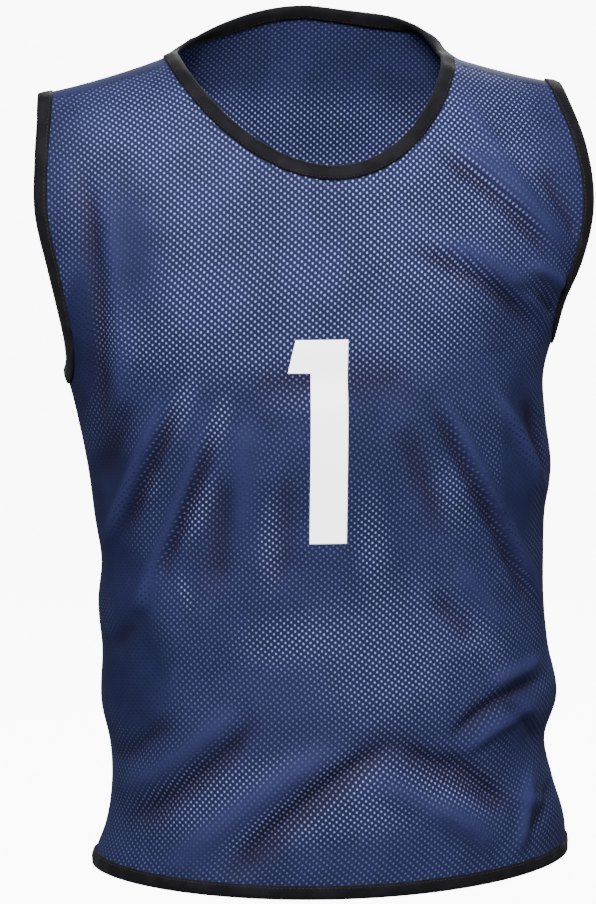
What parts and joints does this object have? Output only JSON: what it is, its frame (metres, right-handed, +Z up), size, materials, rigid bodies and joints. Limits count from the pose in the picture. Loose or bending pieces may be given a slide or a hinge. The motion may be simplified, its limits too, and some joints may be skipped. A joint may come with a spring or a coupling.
{
  "type": "mesh training bib",
  "caption": "Sleeveless mesh training bib, filled out as worn: front and back panels of navy mesh knit, with black tape bound over the neck, armholes and hem.",
  "frame": {"origin": "midway between the two points where the shoulder seams meet the neck, where the wearer's shoulders hold the bib up", "axes": "+Z up; the front faces -Y; +X is at the right of someone who looks at the front"},
  "size_m": [0.4556, 0.2318, 0.7175],
  "materials": {
    "mesh_knit": "navy warp-knitted mesh, satin yarn",
    "binding_tape": "matte black folded knit tape"
  },
  "bodies": {
    "root": {"front_panel": "mesh_knit", "back_panel": "mesh_knit", "neck_binding": "binding_tape", "left_armhole_binding": "binding_tape", "right_armhole_binding": "binding_tape", "hem_binding": "binding_tape"}
  },
  "joints": []
}
